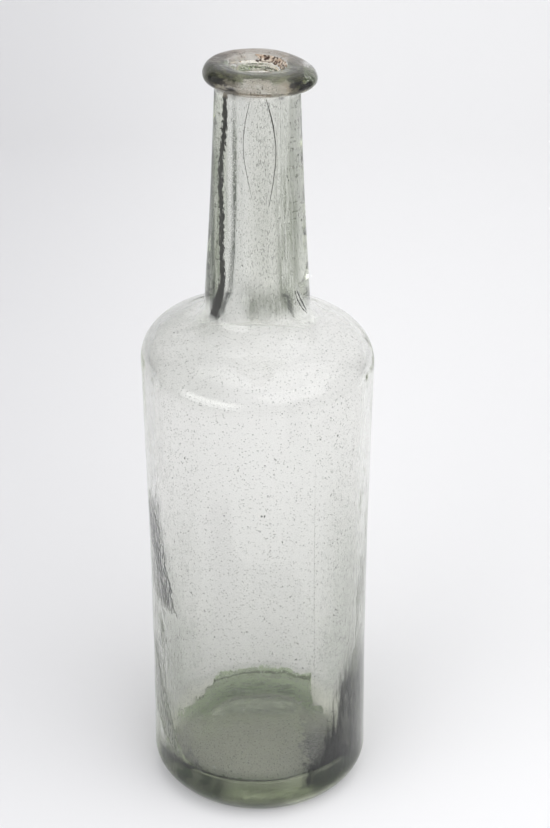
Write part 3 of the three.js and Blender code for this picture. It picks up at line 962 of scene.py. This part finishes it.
crustLook = {  # the noises have their scale per metre, and the pairs say where each is eased
    "tan": (0.50, 0.37, 0.27, 1), "pale": (0.78, 0.70, 0.60, 1), "brown": (0.055, 0.026, 0.015, 1),
    "mottle": ((900,) * 3, 3.0), "mottleEdges": (0.35, 0.65),
    "patches": ((1100,) * 3, 3.0), "patchEdges": (0.50, 0.57),
    "roughness": 0.85, "grain": ((3000,) * 3, 3.0), "grainDepth": 0.0002,
}


def crustMaterial():
    look = crustLook
    material = bpy.data.materials.new("corkCrust")
    material.use_nodes = True
    tree = material.node_tree
    surface = tree.nodes["Principled BSDF"]
    place = tree.nodes.new("ShaderNodeTexCoord").outputs["Object"]
    mottle = ease(tree, cloud(tree, place, *look["mottle"]), *look["mottleEdges"])
    tint = blendColour(tree, mottle, look["tan"], look["pale"])
    dark = ease(tree, cloud(tree, place, *look["patches"]), *look["patchEdges"])
    put(tree, blendColour(tree, dark, tint, look["brown"]), surface.inputs["Base Color"])
    surface.inputs["Roughness"].default_value = look["roughness"]
    bump = tree.nodes.new("ShaderNodeBump")
    bump.inputs["Distance"].default_value = look["grainDepth"]
    tree.links.new(cloud(tree, place, *look["grain"]), bump.inputs["Height"])
    tree.links.new(bump.outputs["Normal"], surface.inputs["Normal"])
    return material


def sheetNoise(across, down, waves):  # soft noise over a sheet: waves across and down, and a seed
    along, up, seed = waves
    return wobble(np.column_stack([across * along, down * up, across * 0]), (1, 1, 1), seed)


def addCrumbs(skin, radii, heights):
    c = crust
    startClean()
    bpy.ops.mesh.primitive_ico_sphere_add(subdivisions=1, radius=1.0)
    crumb = bpy.context.object
    rng = random.Random(c["random"])
    mesh = bmesh.new()
    mesh.from_mesh(skin.data)
    for i in range(c["crumbs"]):
        size = rng.uniform(*c["crumbSize"])
        isStray = rng.random() < c["strays"]
        turn = math.radians(rng.uniform(*c["strayAngles"]) if isStray
                            else rng.uniform(c["from"], c["to"]))
        reach = rng.uniform(c["bottom"] + c["crumbInset"], c["top"])
        lift = float(np.interp(reach, radii, heights)) + size * c["crumbLift"]
        first = len(mesh.verts)
        mesh.from_mesh(crumb.data)
        mesh.verts.ensure_lookup_table()
        spot = Vector((reach * math.cos(turn), reach * math.sin(turn), lift))
        for vert in mesh.verts[first:]:
            vert.co = (vert.co * size * rng.uniform(*c["crumbShape"]) + spot) * mm
    mesh.to_mesh(skin.data)
    mesh.free()
    bpy.data.objects.remove(crumb)


def buildCrust(outer, inner, neckFoot):
    c = crust
    startClean()
    bpy.ops.mesh.primitive_grid_add(x_subdivisions=c["across"], y_subdivisions=c["down"], size=1)
    skin = bpy.context.object
    skin.name = "mouthCrust"
    heights, radii = np.array(inner[0][::-1]), np.array(inner[1][::-1])
    keep = heights > glass["height"] - c["funnelDepth"]
    order = np.argsort(radii[keep])
    radii, heights = radii[keep][order], heights[keep][order]
    flat = readPoints(skin.data) * mm
    across, down = flat[:, 0] + 0.5, flat[:, 1] + 0.5
    angle = np.radians(c["from"] + (c["to"] - c["from"]) * across)
    taper = np.minimum(1.0, np.minimum(across, 1 - across) * c["taper"])
    least, frayed = c["frayReach"]
    reach = down * taper * (least + frayed * sheetNoise(across, down, c["fray"]))
    radius = c["top"] - (c["top"] - c["bottom"]) * reach
    z = np.interp(radius, radii, heights) + c["lift"]
    z += c["lumpHeight"] * np.abs(sheetNoise(across, down, c["lumps"]))
    writePoints(skin.data, np.column_stack([radius * np.cos(angle), radius * np.sin(angle), z]))
    bpy.ops.object.modifier_add(type="SOLIDIFY")
    skin.modifiers[-1].thickness = c["thickness"] * mm
    skin.modifiers[-1].offset = 0.0
    bpy.ops.object.modifier_apply(modifier=skin.modifiers[-1].name)

    addCrumbs(skin, radii, heights)
    settle(skin, neckFoot)
    useOnly(skin)
    bpy.ops.object.mode_set(mode="EDIT")
    bpy.ops.mesh.select_all(action="SELECT")
    bpy.ops.mesh.normals_make_consistent(inside=False)
    bpy.ops.object.mode_set(mode="OBJECT")
    bpy.ops.object.shade_smooth()
    giveMaterial(skin, crustMaterial())
    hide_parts("mouth_crust")
    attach(skin, "root")
    print("crust laid in the mouth,", len(skin.data.polygons), "faces")


def buildGlass():
    outside, inside, neckFoot = glassOutline()
    obj = spinOutline("bottleGlass", outside + inside)
    print("glass spun,", len(outside) + len(inside), "points in the outline,",
          len(obj.data.polygons), "faces")
    climb = [p for p in outside if p[0] > glass["climbFrom"]]
    neckOut = [p for p in outside if p[1] > glass["neckAbove"]]
    innerWall = [p for p in inside if p[0] > glass["insideFrom"]]
    outer = sorted({round(p[1], glass["digits"]): p[0] for p in climb + neckOut}.items())
    inner = sorted({round(p[1], glass["digits"]): p[0] for p in innerWall}.items())
    outer, inner = tuple(zip(*outer)), tuple(zip(*inner))
    rippleWalls(obj, outer, inner)
    addSeeds(obj, outer, inner)
    markFloor(obj)
    settle(obj, neckFoot)
    giveMaterial(obj, glassMaterial())
    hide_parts("vessel", "lip_ring")
    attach(obj, "root")
    print("glass finished,", sum(len(f.vertices) - 2 for f in obj.data.polygons), "triangles")
    return outer, inner, neckFoot


placeCamera()
buildStage()
outline = buildGlass()
buildStreaks(*outline)
buildCrust(*outline)
